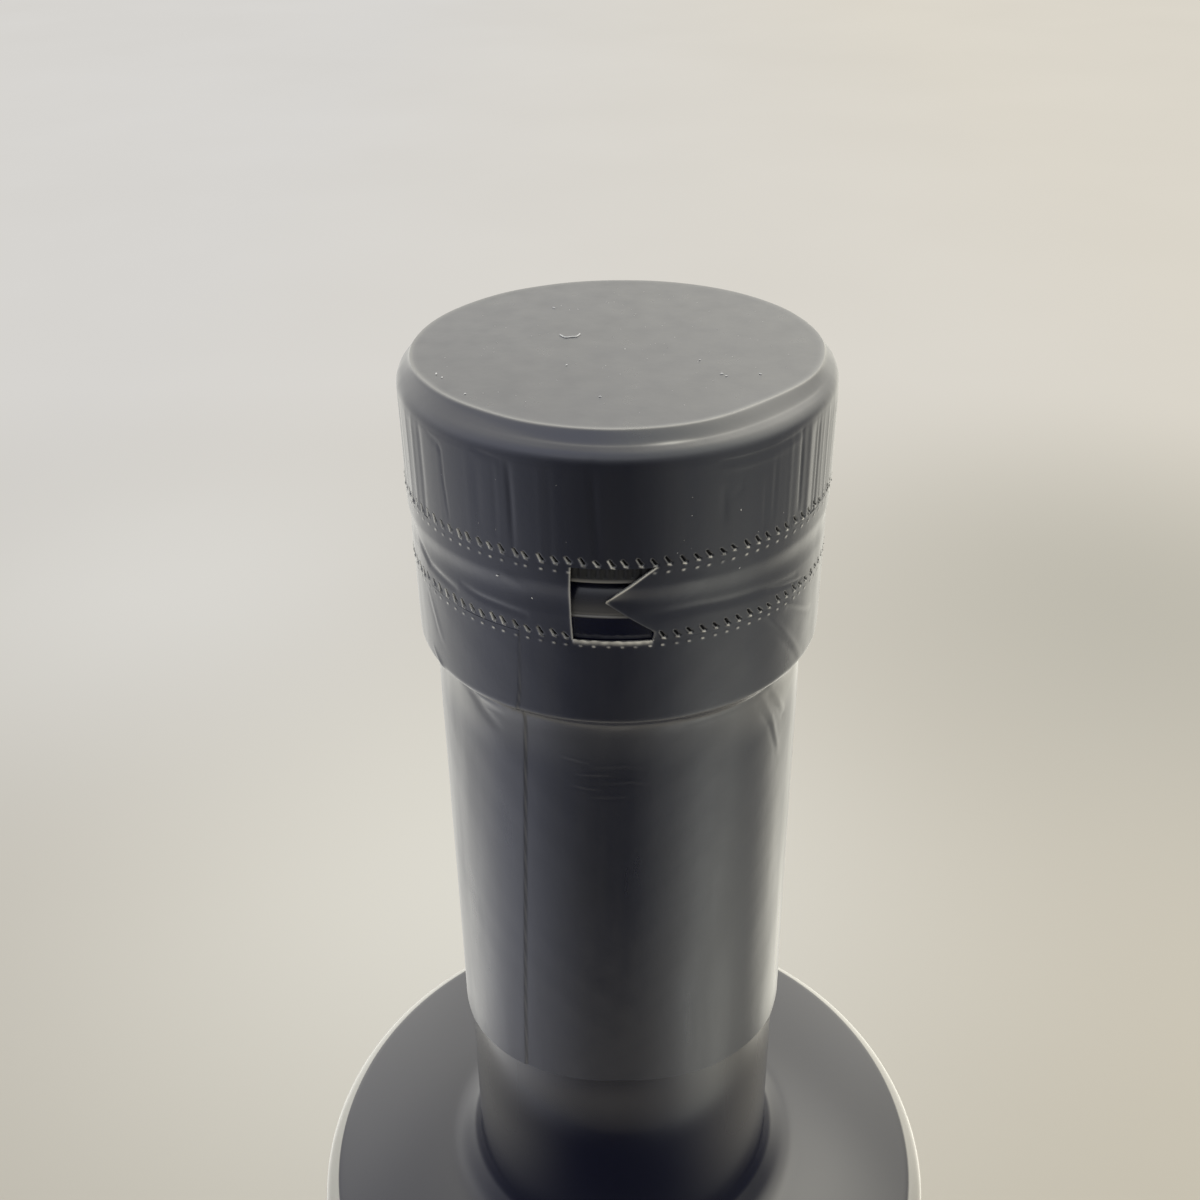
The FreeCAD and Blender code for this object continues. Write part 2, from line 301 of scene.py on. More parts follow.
def perforation(azimuth, depth, line, seed):
    """Slits and dots round a tear line: lift in mm, the painted shade of each hole, and the
    painted glints on its edges and dots.
    """
    random = np.random.default_rng(seed)
    pitch = 360.0 / PERFORATIONS
    shift = random.uniform(0, pitch)
    cell = np.floor((azimuth - shift) / pitch).astype(int) % PERFORATIONS
    sway = random.normal(0, 0.05, (PERFORATIONS, 2))[cell]
    reach = random.uniform(0.75, 1.15, PERFORATIONS)[cell]
    glint = random.uniform(0.35, 1.15, PERFORATIONS)[cell]
    wide = math.radians(pitch) * CAP_RADIUS
    across = (((azimuth - shift) / pitch) % 1 - 0.5) * wide + sway[..., 0]
    down = (depth - line + SLIT_RISE + sway[..., 1]) / reach
    turn = (azimuth + 180) % 360 - 180
    right = ramp(turn, -8, 14)
    stroke, along = nearest(across, down, [(-0.24, -0.30), (-0.08, 0.0), (0.02, 0.18)])
    hook, _ = nearest(across, down, [(0.02, 0.20), (0.24, 0.28)])
    hole, _ = nearest(across, down, [(-0.10, -0.30), (0.12, 0.02), (0.24, 0.12)])
    dot, _ = nearest(across, depth - line - DOT_DROP, [(-0.02, 0.0), (0.10, 0.0)])
    lift = 0.06 * bell(stroke, 0.07) * (0.4 + 0.6 * along) + 0.06 * bell(hook, 0.07)
    lift = lift - 0.22 * bell(hole, 0.08) + 0.04 * bell(dot, 0.09)
    # Painted highlights: pale glints on the slits' raised edges and on the dots; on the right side
    # they move from the upright stroke to the bent hook, where the light falls.
    upright, bent = bell(stroke, 0.046), bell(hook, 0.048)
    pale_and_painted_light = glint * (upright * (1 - 0.85 * right) + bent * (0.45 + 0.5 * right))
    pale_and_painted_light = pale_and_painted_light + glint * bell(dot, 0.055)
    # Painted shade: how dark each hole is coloured.
    hole_shade = bell(hole, 0.12)
    return lift, hole_shade, np.clip(pale_and_painted_light, 0, 1)


# ---------------------------------------------------------------- materials

def nodes_of(name):
    """A new node material, its tree and its principled shader."""
    material = bpy.data.materials.new(name)
    material.use_nodes = True
    tree = material.node_tree
    return material, tree, tree.nodes["Principled BSDF"]


def node(tree, kind, settings=None, links=None):
    """Add a node, set its inputs or properties, and link sockets into it."""
    made = tree.nodes.new(kind)
    for key, setting in (settings or {}).items():
        if isinstance(key, int) or key in made.inputs:
            made.inputs[key].default_value = setting
        else:
            setattr(made, key, setting)
    for key, source in (links or {}).items():
        tree.links.new(source, made.inputs[key])
    return made


def stretch(tree, source, low, high, new_low, new_high):
    """Map a value from one range to another, held inside it."""
    made = node(tree, "ShaderNodeMapRange", {"From Min": low, "From Max": high,
                                             "To Min": new_low, "To Max": new_high},
                {"Value": source})
    return made.outputs["Result"]


def blend(tree, share, first, second):
    """Mix two colours; each is a tuple or a socket, share a number or a socket."""
    made = node(tree, "ShaderNodeMix", {"data_type": "RGBA"})
    sockets = made.inputs["Factor"], made.inputs[6], made.inputs[7]
    for socket, given in zip(sockets, (share, first, second)):
        if isinstance(given, (tuple, float, int)):
            socket.default_value = given
        else:
            tree.links.new(given, socket)
    return made.outputs[2]


def noise(tree, scale, detail, stretch_z=1.0):
    """Noise in object space, drawn out along the bottle when stretch_z is under 1."""
    place = node(tree, "ShaderNodeTexCoord").outputs["Object"]
    if stretch_z != 1.0:
        place = node(tree, "ShaderNodeMapping", {"Scale": (1, 1, stretch_z)},
                     {"Vector": place}).outputs["Vector"]
    made = node(tree, "ShaderNodeTexNoise", {"Scale": scale, "Detail": detail},
                {"Vector": place})
    return made.outputs["Fac"]


def film_material():
    """Black satin shrink film, pale where it is torn and where highlights are painted on its
    creases, seam and pricks, with painted shade in its holes.
    """
    material, tree, shader = nodes_of("satin_film")
    cloud = noise(tree, 90, 3)
    streak = noise(tree, 420, 4, 0.12)
    dark = blend(tree, cloud, (0.0048, 0.0075, 0.023, 1), (0.0082, 0.0115, 0.034, 1))
    hole_shade = node(tree, "ShaderNodeAttribute", {"attribute_name": "hole_shade"}).outputs["Fac"]
    pale_and_painted_light = node(tree, "ShaderNodeAttribute", {"attribute_name": "pale_and_painted_light"}).outputs["Fac"]
    # Painted shade: holes in the film are coloured near black.
    holed = blend(tree, hole_shade, dark, (0.001, 0.001, 0.002, 1))
    # Pale where the torn film is whitened, and painted highlights on creases, the seam and the
    # pricks' edges.
    colour = blend(tree, pale_and_painted_light, holed, (0.90, 0.88, 0.80, 1))
    tree.links.new(colour, shader.inputs["Base Color"])
    tree.links.new(stretch(tree, streak, 0.3, 0.7, 0.27, 0.36), shader.inputs["Roughness"])
    shader.inputs["IOR"].default_value = 1.85
    shader.inputs["Specular IOR Level"].default_value = 0.9
    peel = node(tree, "ShaderNodeBump", {"Strength": 0.10, "Distance": 0.00008},
                {"Height": noise(tree, 1500, 3)})
    drawn = node(tree, "ShaderNodeBump", {"Strength": 0.10, "Distance": 0.0001},
                 {"Height": streak, "Normal": peel.outputs["Normal"]})
    tree.links.new(drawn.outputs["Normal"], shader.inputs["Normal"])
    return material


def glass_material():
    """Black glass, smooth, with the faint haze of a handled bottle, and painted paler where light
    falls on it.
    """
    material, tree, shader = nodes_of("black_glass")
    haze = noise(tree, 35, 4)
    pale = node(tree, "ShaderNodeAttribute", {"attribute_name": "pale_and_painted_light"}).outputs["Fac"]
    colour = blend(tree, haze, (0.003, 0.004, 0.016, 1), (0.005, 0.0065, 0.024, 1))
    # Painted light: the pale colour is the shoulder ring's painted sheen, the neck's painted
    # reflections and the lip's painted highlights.
    colour = blend(tree, pale, colour, (0.47, 0.455, 0.405, 1))
    tree.links.new(colour, shader.inputs["Base Color"])
    tree.links.new(stretch(tree, haze, 0.3, 0.7, 0.17, 0.23), shader.inputs["Roughness"])
    shader.inputs["IOR"].default_value = 1.7
    shader.inputs["Specular IOR Level"].default_value = 0.8
    return material


def plastic_material():
    """Dark moulded plastic of the stopper."""
    material, tree, shader = nodes_of("moulded_plastic")
    grain = noise(tree, 700, 3)
    pale = node(tree, "ShaderNodeAttribute", {"attribute_name": "pale_and_painted_light"}).outputs["Fac"]
    dark = blend(tree, grain, (0.016, 0.016, 0.018, 1), (0.032, 0.032, 0.034, 1))
    tree.links.new(blend(tree, pale, dark, (0.34, 0.33, 0.31, 1)), shader.inputs["Base Color"])
    tree.links.new(stretch(tree, grain, 0.3, 0.7, 0.32, 0.48), shader.inputs["Roughness"])
    return material


FILM = film_material()
GLASS = glass_material()
PLASTIC = plastic_material()


# ---------------------------------------------------------------- bottle and stopper

def bottle_profile():
    """Glass from the lip down to the foot and back to the axis."""
    lip_radius = HEAD_RADIUS - 0.35
    ring_radius = lip_radius + 0.2
    ledge = LIP_DEPTH + LIP_ROUND
    under, body_top, foot = TOP - RING_UNDER, TOP - BODY_HEIGHT, TOP
    profile = [(0, LIP_DEPTH)] + run((0, LIP_DEPTH), (lip_radius - LIP_ROUND, LIP_DEPTH), 3)
    profile += arc((lip_radius - LIP_ROUND, ledge), LIP_ROUND, 90, 0, 24)
    profile += [(ring_radius - 0.06, ledge + 0.03), (ring_radius, ledge + 0.12),
                (ring_radius, ledge + 0.20)]
    profile += run(profile[-1], (ring_radius, under - RING_CORNER), 6)
    profile += arc((ring_radius - RING_CORNER, under - RING_CORNER), RING_CORNER, 0, -90, 8)
    profile += arc((NECK_ROOT_RADIUS + NECK_ROOT_ROUND, under + NECK_ROOT_ROUND),
                   NECK_ROOT_ROUND, 90, 180, 8)
    profile += run((NECK_ROOT_RADIUS, under + NECK_ROOT_ROUND),
                   (NECK_FOOT_RADIUS, TOP - FLARE_TOP), 56)
    profile += arc((NECK_FOOT_RADIUS + FLARE_ROUND, TOP - FLARE_TOP), FLARE_ROUND,
                   180, 267, 26)[:-1]
    profile += arc(CROWN_CENTRE, CROWN_RADIUS, CROWN_START, CROWN_FINE, 20)[:-1]
    profile += arc(CROWN_CENTRE, CROWN_RADIUS, CROWN_FINE, CROWN_END, 24)[:-1]
    profile += arc((BODY_RADIUS - CORNER_ROUND, body_top), CORNER_ROUND, CROWN_END, 0, 30)
    profile += run((BODY_RADIUS, body_top), (BODY_RADIUS, foot - FOOT_ROUND), 60)
    profile += arc((BODY_RADIUS - FOOT_ROUND, foot - FOOT_ROUND), FOOT_ROUND, 0, -90, 14)
    profile += [(25.0, foot), (23.2, foot - 0.02), (22.6, foot - 0.12)]
    profile += [(PUNT_RADIUS * share, foot - PUNT_RISE * (1 - share * share))
                for share in (0.9, 0.75, 0.6, 0.4, 0.2, 0.08)]
    profile += [(0, foot - PUNT_RISE)]
    return profile


def make_bottle():
    """Glass of the bottle, drawn out of round by a breath as blown glass is.

    Its colour is painted paler where light falls: a ring of painted grazing sheen round the
    shoulder, a painted reflection at the sides of the neck as seen from the front, and painted
    highlights on the lip in the film's window.
    """
    points, faces = turned(bottle_profile(), 288, 0.03, 11)
    radius, height = np.hypot(points[:, 0], points[:, 1]), points[:, 2]
    depth = TOP - height
    # Painted sheen: a pale ring round the shoulder's edge, crisp on its inner side, standing in
    # for the bright grazing rim.
    ring = ramp(radius, PAINTED_SHEEN_RING_RADIUS - 0.06, PAINTED_SHEEN_RING_RADIUS + 0.06)
    ring = ring * ramp(height, BODY_HEIGHT + 0.2, BODY_HEIGHT + 1.0) * (height < FLARE_TOP)
    # Painted reflection: the neck is paler at its sides than in front.
    turn = np.abs(np.degrees(np.arctan2(points[:, 0], -points[:, 1])))
    side = ramp(turn, 12, 70) * (1 - ramp(turn, 62, 95))
    neck = ramp(height, FLARE_TOP - 2, FLARE_TOP + 12) * (height < RING_UNDER)
    # Painted highlights on the lip: the lower half of its rounding is paler, with a bright line on
    # the ledge below it.
    ledge = LIP_DEPTH + LIP_ROUND
    lip = 0.20 * ramp(depth, LIP_DEPTH + 1.2, LIP_DEPTH + 2.7)
    lip = lip + 0.35 * bell(depth - ledge - 0.05, 0.07)
    lip = lip * (depth < ledge + 0.18) * (radius > 10)
    layers = {"pale_and_painted_light": ring + neck * (0.006 + 0.34 * side ** 1.2) + lip}
    piece = new_piece("bottle_glass", points, faces, GLASS, layers, 60)
    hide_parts("bottle")


RIDGES = 160
RIDGE_HEIGHT = 0.16
# Rounder than on the solid, so that this hidden edge stays under the film's sunken rim.
STOPPER_EDGE = 3.4


def make_stopper():
    """Knurled head of the stopper; fine ridges end in a plain foot ring."""
    columns = RIDGES * 8
    azimuth = np.arange(columns)[None, :] * 360.0 / columns
    crown, below_edge = HEAD_RADIUS - STOPPER_EDGE, HEAD_TOP_DEPTH + STOPPER_EDGE
    profile = run((0, HEAD_TOP_DEPTH), (crown, HEAD_TOP_DEPTH), 3)
    profile += arc((crown, below_edge), STOPPER_EDGE, 90, 0, 9)
    profile += run((HEAD_RADIUS, below_edge), (HEAD_RADIUS, LIP_DEPTH - 0.55), 9)
    profile += [(HEAD_RADIUS, LIP_DEPTH - 0.5), (HEAD_RADIUS, LIP_DEPTH - 0.4),
                (HEAD_RADIUS, LIP_DEPTH - 0.12), (HEAD_RADIUS - 0.05, LIP_DEPTH - 0.03),
                (HEAD_RADIUS - 0.14, LIP_DEPTH), (HEAD_RADIUS - 4, LIP_DEPTH)]
    ring = np.array(profile)
    radius, depth = ring[:, :1], ring[:, 1:]
    knurl = 0.5 - 0.5 * np.cos(np.radians(azimuth) * RIDGES)
    share = ramp(depth, below_edge, below_edge + 0.6)
    share = share * (1 - ramp(depth, LIP_DEPTH - 0.5, LIP_DEPTH - 0.38))
    radius = radius - RIDGE_HEIGHT * share * knurl ** 1.6
    lattice = polar(azimuth + 0 * radius, radius, depth + 0 * radius)
    points, faces = closed_round(lattice, HEAD_TOP_DEPTH, LIP_DEPTH)
    pale = 0.6 * bell(depth - LIP_DEPTH + 0.12, 0.09) + 0 * radius
    layers = {"pale_and_painted_light": np.concatenate([pale.reshape(-1), [0, 0]])}
    piece = new_piece("stopper_knurled", points, faces, PLASTIC, layers)
    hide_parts("stopper_head")


# ---------------------------------------------------------------- film

# Columns round the bottle, the reach of the fine rows beside a tear line, and the angle from
# which an edge of the film is drawn sharp.
COLUMNS = PERFORATIONS * 14
FINE_REACH = 1.2
FILM_SHARP = 60


def near_tear(depth, line):
    """True for each row whose depth lies close to a tear line, where columns stay fine."""
    return np.abs(depth.mean(1) - line) < FINE_REACH


def film_piece(name, points, faces, fine, hole_shade, pale_and_painted_light):
    """A piece of film; its two layers tell its material where the holes get painted shade and
    where it is pale, as torn film or as a painted highlight.
    """
    layers = {"hole_shade": padded(hole_shade, fine, points), "pale_and_painted_light": padded(pale_and_painted_light, fine, points)}
    return new_piece(name, points, faces, FILM, layers, FILM_SHARP)


def fine_rows(spans):
    """Depths or shares from (start, end, step) spans that follow each other."""
    rows = []
    for start, end, step in spans:
        count = max(1, round((end - start) / step))
        rows += list(np.linspace(start, end, count + 1)[:-1])
    return rows + [spans[-1][1]]


def offset_profile(radius, depth, wall):
    """Move a profile inwards by the film's thickness, square to its own line."""
    along_r, along_d = np.gradient(radius, axis=0), np.gradient(depth, axis=0)
    length = np.hypot(along_r, along_d) + 1e-9
    return radius - wall * along_d / length, depth + wall * along_r / length


SKIRT_CREASES = [
    ([(-47.8, 2.9), (-47.6, 5.5), (-46.4, 8.6)], 0.10, -0.05, 0),
    ([(-26.4, 2.3), (-26.0, 5.0), (-25.9, 9.0)], 0.22, -0.06, 0),
    ([(-35.6, 3.0), (-35.5, 8.0)], 0.35, -0.02, 0),
    ([(-30.3, 3.0), (-30.3, 8.5)], 0.30, -0.02, 0),
    ([(-5.9, 1.6), (-5.6, 5.0), (-4.8, 9.0)], 0.32, -0.05, 0),
    ([(25.3, 4.4), (25.9, 7.0)], 0.28, -0.05, 0),
    ([(37.8, 4.8), (38.0, 9.0)], 0.22, -0.05, 0),
    ([(40.9, 3.2), (40.8, 8.4)], 0.18, -0.04, 0),
    ([(50.6, 2.2), (50.9, 5.2), (51.0, 8.6)], 0.16, -0.07, 0),
    ([(30.2, 3.8), (30.6, 4.8), (27.0, 5.4)], 0.12, -0.03, 0),
    ([(-53.2, 2.3), (-48.8, 2.8), (-47.6, 3.4)], 0.14, -0.05, 0),
    ([(-36.0, 2.0), (-27.3, 2.3)], 0.22, -0.04, 0),
    ([(24.5, 2.3), (31.3, 2.45), (39.1, 2.5), (50.4, 2.2)], 0.20, -0.07, 0.5),
]


# Upright marks on the skirt: how many, and how many of them are strong, right and left.
MARKS, STRONG_RIGHT, STRONG_LEFT = 64, 14, 8


def telegraph(azimuth, depth, start):
    """The stopper's knurl showing through the skirt, strong in some stretches only."""
    random = np.random.default_rng(31)
    strong_marks = STRONG_RIGHT + STRONG_LEFT
    places = random.uniform(-180, 180, MARKS)
    places[:STRONG_RIGHT] = (np.linspace(55, 88, STRONG_RIGHT)
                             + random.normal(0, 0.7, STRONG_RIGHT))
    places[STRONG_RIGHT:strong_marks] = (np.linspace(-88, -58, STRONG_LEFT)
                                         + random.normal(0, 0.8, STRONG_LEFT))
    turn = (azimuth + 180) % 360 - 180
    total = 0.0
    for index, place in enumerate(places):
        bend = random.normal(0, 0.5) * np.sin(depth / random.uniform(3, 8))
        height = random.uniform(0.5, 1.0) * (0.055 if index < strong_marks else 0.012)
        width = random.uniform(0.16, 0.34)
        away = np.radians(turn - place - bend * 0.6) * CAP_RADIUS
        total = total + height * random.choice([-1, 1]) * bell(away, width)
    return total * ramp(depth, start - 0.6, start + 1.2)


# The rim from the crease to the skirt as (share of the way out, depth), plain and with a ledge.
RIM = [(0.0, 0.0), (0.04, 0.0), (0.10, 0.07), (0.20, 0.30), (0.46, 0.66), (0.78, 1.05),
       (0.97, 1.55), (1.0, 2.2)]
SHELVED_RIM = [(0.0, 0.0), (0.04, 0.0), (0.11, 0.06), (0.47, 0.68), (0.60, 0.80), (0.84, 1.08),
               (0.98, 1.55), (1.0, 2.2)]


def rounded(line, passes=3):
    """Round a line's corners by cutting them off, pass after pass."""
    line = np.array(line)
    for _ in range(passes):
        near, far = 0.75 * line[:-1] + 0.25 * line[1:], 0.25 * line[:-1] + 0.75 * line[1:]
        cut = np.stack([near, far], 1).reshape(-1, line.shape[1])
        line = np.concatenate([line[:1], cut, line[-1:]])
    return line


def cap_lines(azimuth, turn):
    """Radius of the crease round the flat top, and how much of a ledge the rim has outside it."""
    crease = 15.25 - 0.35 * bell(turn - 46, 14)
    crease = crease + 1.05 * ramp(np.abs(turn), 35, 95) - 0.45 * ramp(np.abs(turn), 105, 175)
    crease = crease + 0.06 * wander(azimuth, 0.0, 5, 8, 17, 0)
    ledge = 0.5 + 0.5 * ramp(turn, -32, -8) - 0.9 * ramp(turn, 60, 75) * (1 - ramp(turn, 150, 175))
    return crease, np.clip(ledge - 0.5 * ramp(-turn, 20, 50), 0.0, 1.0)


def make_cap():
    """Film over the stopper: flat top with a drawn crease, rolled rim and skirt."""
    azimuth = np.arange(COLUMNS) * 360.0 / COLUMNS
    turn = (azimuth + 180) % 360 - 180
    crease, ledge = cap_lines(azimuth, turn)
    profile = []
    for share in (0.06, 0.2, 0.36, 0.52, 0.66, 0.78, 0.87, 0.93, 0.965, 0.98, 0.99):
        profile.append((crease * share, 0 * crease))
    for (share, drop), (shelf_share, shelf_drop) in zip(rounded(RIM), rounded(SHELVED_RIM)):
        out = share + ledge * (shelf_share - share)
        profile.append((crease + (CAP_RADIUS - crease) * out,
                        drop + ledge * (shelf_drop - drop)))
    for depth in fine_rows([(2.4, 8.9, 0.28), (8.9, TEAR_UPPER, 0.075)]):
        profile.append((CAP_RADIUS + 0 * crease, depth + 0 * crease))
    radius = np.array([row[0] for row in profile])
    depth = np.array([row[1] for row in profile])
    depth = depth - 0.03 * bell(radius - crease, 0.12)
    grid = azimuth[None, :] + 0 * radius
    inner_radius, inner_depth = offset_profile(radius, depth, FILM_WALL)
    lift, hole_shade, pale_and_painted_light = perforation(grid, depth, TEAR_UPPER, UPPER_SEED)
    pricked = depth > 8.0
    lift, hole_shade, pale_and_painted_light = lift * pricked, hole_shade * pricked, pale_and_painted_light * pricked
    # Painted highlights: a bright line on the crease and a fainter, wider one just inside it, a
    # faint line along the ledge, and a brighter spot on the ledge a little right of the front.
    past_crease = radius - crease
    pale_and_painted_light = pale_and_painted_light + 0.20 * bell(past_crease - 0.07, 0.08) + 0.10 * bell(past_crease + 0.10, 0.20)
    ledge_highlight = ledge * bell(past_crease - 0.53 * (CAP_RADIUS - crease), 0.12)
    pale_and_painted_light = pale_and_painted_light + ledge_highlight * (0.05 + 0.40 * bell(turn - 13.0, 4.5)) * (depth < 1.5)
    skirt = ramp(depth, 0.8, 2.6)
    lift = lift + folds(grid, depth, CAP_RADIUS, SKIRT_CREASES) * ramp(depth, 0.5, 1.5)
    lift = lift + skirt * telegraph(grid, depth, 2.0)
    lift = lift + 0.02 * skirt * wander(grid, depth, 7, 10, 9, 0.05)
    flat = 1 - ramp(radius, 14.0, 15.2)
    depth = depth + 0.012 * flat * wander(grid, radius, 9, 8, 4, 0.06)
    outer = polar(grid, radius + lift, depth)
    inner = polar(grid, inner_radius, np.minimum(inner_depth, TEAR_UPPER))
    fine = near_tear(depth, TEAR_UPPER)
    fine[0] = False
    points, faces = shell(outer, inner, fine, poles=True)
    piece = film_piece("capsule_top_film", points, faces, fine, hole_shade, pale_and_painted_light)
    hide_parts("capsule_cap")


# The window in the tear band, from its straight cut to the pointed tongue, in degrees and depth.
WINDOW_LEFT = -11.5
TONGUE_CORNER = 8.7
TONGUE_TIP = -3.5
TONGUE_TIP_DEPTH = 12.85
TONGUE_HEEL_DEPTH = 15.55

BAND_CREASES = [
    ([(-66, 13.4), (-59.5, 14.5), (-47.0, 14.9)], 0.32, -0.12, 0),
    ([(-44, 14.2), (-37.6, 14.5), (-31.2, 14.6), (-24.0, 14.8)], 0.30, -0.08, 0),
    ([(5.1, 14.2), (20.3, 14.0), (38.2, 14.3), (52.5, 14.9)], 0.42, -0.10, 0),
    ([(41.8, 14.65), (47.0, 15.1), (56, 15.6)], 0.18, -0.06, 0),
    ([(-30, 11.6), (-24, 12.2)], 0.5, 0.03, 0),
    ([(14, 11.2), (22, 11.6)], 0.5, 0.03, 0),
]


def band_radius(depth):
    """Radius of the film over the gap between stopper and ring."""
    share = ramp(depth, LIP_DEPTH, LIP_DEPTH + LIP_ROUND)
    sag = 0.11 * np.sin(np.pi * np.clip((depth - LIP_DEPTH) / LIP_ROUND, 0, 1)) ** 1.5
    return CAP_RADIUS + (RING_RADIUS - CAP_RADIUS) * share - sag


def make_band():
    """Tear band: starts at its pointed tongue, runs round, and ends at the straight cut."""
    depth = np.array(fine_rows([(TEAR_UPPER, 11.0, 0.075), (11.0, 15.3, 0.16),
                                (15.3, TEAR_LOWER, 0.075)]))[:, None]
    tongue = np.interp(depth, [TEAR_UPPER, 10.5, TONGUE_TIP_DEPTH, 14.4, TONGUE_HEEL_DEPTH,
                               TEAR_LOWER],
                       [TONGUE_CORNER + 0.2, 6.6, TONGUE_TIP, 3.4, TONGUE_CORNER,
                        TONGUE_CORNER - 0.4])
    hold = np.sin(np.pi * (depth - TEAR_UPPER) / (TEAR_LOWER - TEAR_UPPER))
    cut = WINDOW_LEFT + 360 - 0.35 * hold
    share = np.linspace(0, 1, COLUMNS - 48)[None, :]
    grid = tongue + share * (cut - tongue)
    depth = depth + 0 * grid
    radius = band_radius(depth)
    lift, hole_shade, pale_and_painted_light = perforation(grid, depth, TEAR_UPPER, UPPER_SEED)
    low_lift, low_hole_shade, low_pale_and_painted_light = perforation(grid, depth, TEAR_LOWER, LOWER_SEED)
    upper = depth < 13
    lift = np.where(upper, lift, low_lift)
    hole_shade = np.where(upper, hole_shade, low_hole_shade)
    pale_and_painted_light = np.where(upper, pale_and_painted_light, low_pale_and_painted_light)
    from_tongue = np.radians(grid - tongue) * CAP_RADIUS
    from_cut = np.radians(cut - grid) * CAP_RADIUS
    lift = lift + 0.16 * hold * np.exp(-from_tongue / 1.1) + 0.10 * hold * np.exp(-from_cut / 0.7)
    lift = lift + folds(grid, depth, CAP_RADIUS, BAND_CREASES)
    lift = lift + 0.018 * hold * wander(grid, depth, 17, 12, 14, 0.12)
    # The torn edges are pale partly as whitened film and partly as a painted highlight: the
    # tongue's upper edge, which faces up to the light, is painted much brighter than its lower
    # edge, and the straight cut gets a fainter pale line.
    lit_upper_edge = 1 - ramp(depth, TONGUE_TIP_DEPTH - 0.3, TONGUE_TIP_DEPTH + 0.3)
    frayed = 1 + 0.35 * wander(20 * depth, 0 * depth, 53, 6, 9, 0)
    torn = bell(from_tongue, 0.14 * frayed) * (0.95 * lit_upper_edge + 0.1)
    torn = torn + 0.6 * bell(from_cut, 0.08 * frayed)
    pale_and_painted_light = np.clip(pale_and_painted_light + torn, 0, 1)
    outer = polar(grid, radius + lift, depth)
    inner = polar(grid, radius - FILM_WALL + np.minimum(lift, 0.3) * 0.5, depth)
    points, faces = strip_shell(outer, inner)
    fine = np.full(len(outer), True)
    piece = film_piece("tear_band_film", points, faces, fine, hole_shade, pale_and_painted_light)
    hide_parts("tear_band")


SLEEVE_CREASES = [
    ([(-62, 23.0), (-55, 24.6), (-44.4, 25.3), (-36.0, 25.6)], 0.28, 0.10, 0.5),
    ([(-52, 24.6), (-44, 26.6), (-38, 27.6)], 0.45, -0.10, 0),
    ([(18.5, 24.9), (30.2, 25.0), (44.4, 24.9), (54, 24.2)], 0.30, 0.10, 0.5),
    ([(41, 16.8), (52.4, 20.8), (59.0, 23.4)], 0.35, 0.07, 0.6),
    ([(50, 16.9), (63.2, 19.4)], 0.30, 0.06, 0.5),
    ([(45, 26.0), (52, 29.0), (58, 33.5)], 0.40, 0.09, 0.7),
    ([(50, 25.8), (60, 29.5)], 0.35, 0.08, 0.6),
    ([(-62, 17.2), (-56, 21.0)], 0.35, 0.05, 0.5),
    ([(-17, 28.6), (-9, 28.9)], 0.13, 0.014, 0.30),
    ([(-8, 29.3), (1, 29.1), (7, 29.4)], 0.15, 0.013, 0.38),
    ([(-13, 30.2), (-3, 30.0)], 0.12, 0.016, 0.30),
    ([(-5, 30.9), (3, 30.7), (8, 31.0)], 0.15, 0.012, 0.38),
    ([(-14, 31.4), (-6, 31.6)], 0.12, 0.013, 0.30),
    ([(-9, 32.4), (2, 32.2)], 0.15, 0.011, 0.36),
]


def sleeve_profile():
    """(radius, depth) down the film: over the ring, its edge, the root and the neck."""
    over_ring = fine_rows([(TEAR_LOWER, 17.3, 0.075), (17.3, 23.6, 0.22)])
    profile = [(RING_RADIUS, depth) for depth in over_ring]
    profile += [(17.29, 23.75), (17.26, 23.9), (17.2, 24.03), (17.12, 24.15), (17.0, 24.26),
                (16.86, 24.35), (16.7, 24.43), (16.54, 24.52), (16.4, 24.64), (16.29, 24.8),
                (16.2, 25.0), (16.13, 25.25), (16.08, 25.55), (16.04, 25.9), (16.02, 26.3)]
    for depth in fine_rows([(26.6, 28.2, 0.4), (28.2, 33.0, 0.12), (33.0, 66.2, 0.75),
                            (66.2, FILM_FOOT_DEPTH, 0.2)]):
        profile.append((NECK_TOP_RADIUS + NECK_GROWTH * (depth - 25.0), depth))
    return np.array(profile)


def seam_azimuth(depth):
    """Where the overlapping edge of the film runs down."""
    return np.interp(depth, [16, 22, 25, 31, 46, 59, 70],
                     [-25.7, -26.6, -28, -28.8, -31.1, -33.2, -34.5])


